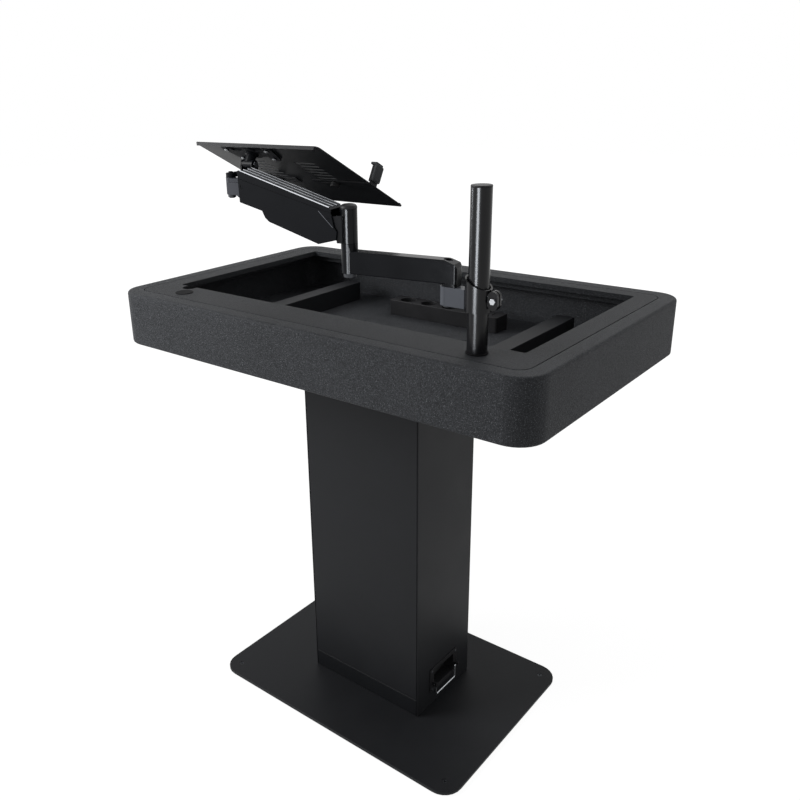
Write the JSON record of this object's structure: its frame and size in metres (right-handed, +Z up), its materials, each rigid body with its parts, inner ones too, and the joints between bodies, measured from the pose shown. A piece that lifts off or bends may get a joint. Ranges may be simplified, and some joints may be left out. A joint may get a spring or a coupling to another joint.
{
  "type": "dj podium stand",
  "caption": "Box-shaped dj table with an equipment well on a square column and base plate, and a pole with a gas-spring arm that holds a tilting computer tray with sliding side grips.",
  "frame": {"origin": "centre of the column's section, on the floor under the levelling feet", "axes": "+X along the long side of the tabletop towards the pole, +Y towards the person who uses the stand, +Z up; the long side at -Y faces the audience"},
  "size_m": [1.045, 0.6708, 1.3283],
  "materials": {
    "textured_coating": "wood panel under a hard sprayed charcoal coating with a fine pebbled texture",
    "powder_coat": "sheet steel with a matte black powder coat",
    "gloss_lacquer": "steel with gloss black lacquer",
    "black_aluminium": "aluminium casting with a smooth semi-gloss black coat",
    "satin_casting": "aluminium casting with a satin grey coat",
    "zinc_steel": "zinc-plated steel",
    "blackened_steel": "steel with a blackened zinc plate",
    "black_plastic": "black moulded plastic",
    "black_rubber": "soft black rubber"
  },
  "bodies": {
    "stand": {"base_plate": "powder_coat", "levelling_foot_1": "blackened_steel", "levelling_foot_2": "blackened_steel", "levelling_foot_3": "blackened_steel", "levelling_foot_4": "blackened_steel", "column_foot_frame": "powder_coat", "column_shell": "powder_coat", "column_front_panel": "powder_coat", "plinth_strip": "powder_coat", "column_head_frame": "powder_coat", "inlet_plate": "black_plastic", "inlet_socket": "black_plastic", "housing_shell": "textured_coating", "insert_panel": "textured_coating", "spare_hole_plug": "black_plastic", "support_rail_left": "powder_coat", "support_rail_right": "powder_coat", "outlet_strip": "black_plastic", "floor_grommet": "black_rubber", "pole_socket": "zinc_steel", "pole": "gloss_lacquer", "pole_foot_ring": "gloss_lacquer", "pole_cap": "black_plastic"},
    "bail": {"inlet_bail": "zinc_steel"},
    "rocker": {"rocker_switch": "black_plastic"},
    "clamp": {"clamp_liner": "black_plastic"},
    "collar": {"clamp_collar": "gloss_lacquer", "clamp_bolt": "zinc_steel", "clamp_nut": "zinc_steel", "clamp_link": "satin_casting", "link_pivot_pin": "blackened_steel"},
    "extension": {"extension_arm": "black_aluminium", "extension_cable_cover": "black_plastic"},
    "post": {"post_swivel": "black_aluminium", "post_foot_nut": "blackened_steel", "post_cap": "black_plastic", "root_pin_upper": "zinc_steel", "root_pin_lower": "zinc_steel"},
    "arm": {"arm_channel": "black_aluminium", "arm_top_cap": "black_plastic", "gas_spring_cylinder": "gloss_lacquer"},
    "parallel_link": {"parallel_bar": "satin_casting"},
    "spring_rod": {"gas_spring_rod": "zinc_steel"},
    "bracket": {"end_bracket": "satin_casting", "tip_pin_upper": "zinc_steel", "tip_pin_lower": "zinc_steel"},
    "head": {"head_knuckle": "gloss_lacquer", "head_stem_nut": "blackened_steel", "tilt_bolt": "zinc_steel"},
    "tilt": {"tilt_block": "gloss_lacquer"},
    "tray_plate": {"mounting_plate": "gloss_lacquer", "tray": "powder_coat"},
    "grip_left": {"grip_bar_left": "powder_coat", "grip_pad_left": "black_rubber"},
    "grip_right": {"grip_bar_right": "powder_coat", "grip_pad_right": "black_rubber"},
    "knob_left": {"grip_knob_left": "black_plastic"},
    "knob_right": {"grip_knob_right": "black_plastic"}
  },
  "joints": [
    {"name": "inlet_bail_swing", "type": "hinge", "parent": "stand", "child": "bail", "pos_m": [0.1673, -0.002, 0.072], "axis": [0, -1, 0], "range_deg": [0, 110]},
    {"name": "switch_rock", "type": "hinge", "parent": "stand", "child": "rocker", "pos_m": [0.135, 0.2, 0.9263], "axis": [0, 1, 0], "range_deg": [-16, 0]},
    {"name": "clamp_height", "type": "slide", "parent": "stand", "child": "clamp", "axis": [0, 0, 1], "range_m": [-0.065, 0.14]},
    {"name": "clamp_turn", "type": "hinge", "parent": "clamp", "child": "collar", "pos_m": [0.377, -0.252, 1.073], "axis": [0, 0, 1], "continuous": true},
    {"name": "extension_swing", "type": "hinge", "parent": "collar", "child": "extension", "pos_m": [0.317, -0.252, 1.11], "axis": [0, 0, 1], "range_deg": [-120, 120]},
    {"name": "post_turn", "type": "hinge", "parent": "extension", "child": "post", "pos_m": [0.12919, -0.28074, 1.19], "axis": [0, 0, 1], "range_deg": [-90, 120]},
    {"name": "arm_lift", "type": "hinge", "parent": "post", "child": "arm", "pos_m": [0.10073, -0.28632, 1.207], "axis": [-0.1925, 0.9813, 0], "range_deg": [-18, 30]},
    {"name": "parallel_bar_lift", "type": "hinge", "parent": "post", "child": "parallel_link", "pos_m": [0.10073, -0.28632, 1.187], "axis": [-0.1925, 0.9813, 0], "range_deg": [-18, 30]},
    {"name": "spring_rod_slide", "type": "slide", "parent": "arm", "child": "spring_rod", "axis": [-0.9456, -0.1855, 0.2672], "range_m": [-0.0055, 0.0035]},
    {"name": "bracket_level", "type": "hinge", "parent": "arm", "child": "bracket", "pos_m": [-0.07515, -0.32083, 1.25671], "axis": [-0.1925, 0.9813, 0], "range_deg": [-30, 18]},
    {"name": "head_swivel", "type": "hinge", "parent": "bracket", "child": "head", "pos_m": [-0.11284, -0.32822, 1.2567], "axis": [0, 0, 1], "range_deg": [-16, 90]},
    {"name": "head_tilt", "type": "hinge", "parent": "head", "child": "tilt", "pos_m": [-0.11284, -0.28022, 1.2894], "axis": [-1, 0, 0], "range_deg": [-45, 30]},
    {"name": "plate_roll", "type": "hinge", "parent": "tilt", "child": "tray_plate", "pos_m": [-0.11284, -0.27054, 1.30758], "axis": [0, 0.4702, 0.8825], "range_deg": [-90, 90]},
    {"name": "grip_slide_left", "type": "slide", "parent": "tray_plate", "child": "grip_left", "axis": [-1, 0, 0], "range_m": [0, 0.04]},
    {"name": "grip_slide_right", "type": "slide", "parent": "tray_plate", "child": "grip_right", "axis": [1, 0, 0], "range_m": [0, 0.04]},
    {"name": "grip_knob_turn_left", "type": "hinge", "parent": "tray_plate", "child": "knob_left", "pos_m": [-0.15734, -0.15581, 1.24645], "axis": [0, 0.4702, 0.8825], "range_deg": [-180, 180]},
    {"name": "grip_knob_turn_right", "type": "hinge", "parent": "tray_plate", "child": "knob_right", "pos_m": [-0.00634, -0.15581, 1.24645], "axis": [0, 0.4702, 0.8825], "range_deg": [-180, 180]}
  ],
  "couplings": [
    {"joint": "parallel_bar_lift", "follows": "arm_lift", "ratio": 1},
    {"joint": "spring_rod_slide", "follows": "arm_lift", "m_per_rad": -0.0096},
    {"joint": "bracket_level", "follows": "arm_lift", "ratio": -1}
  ]
}
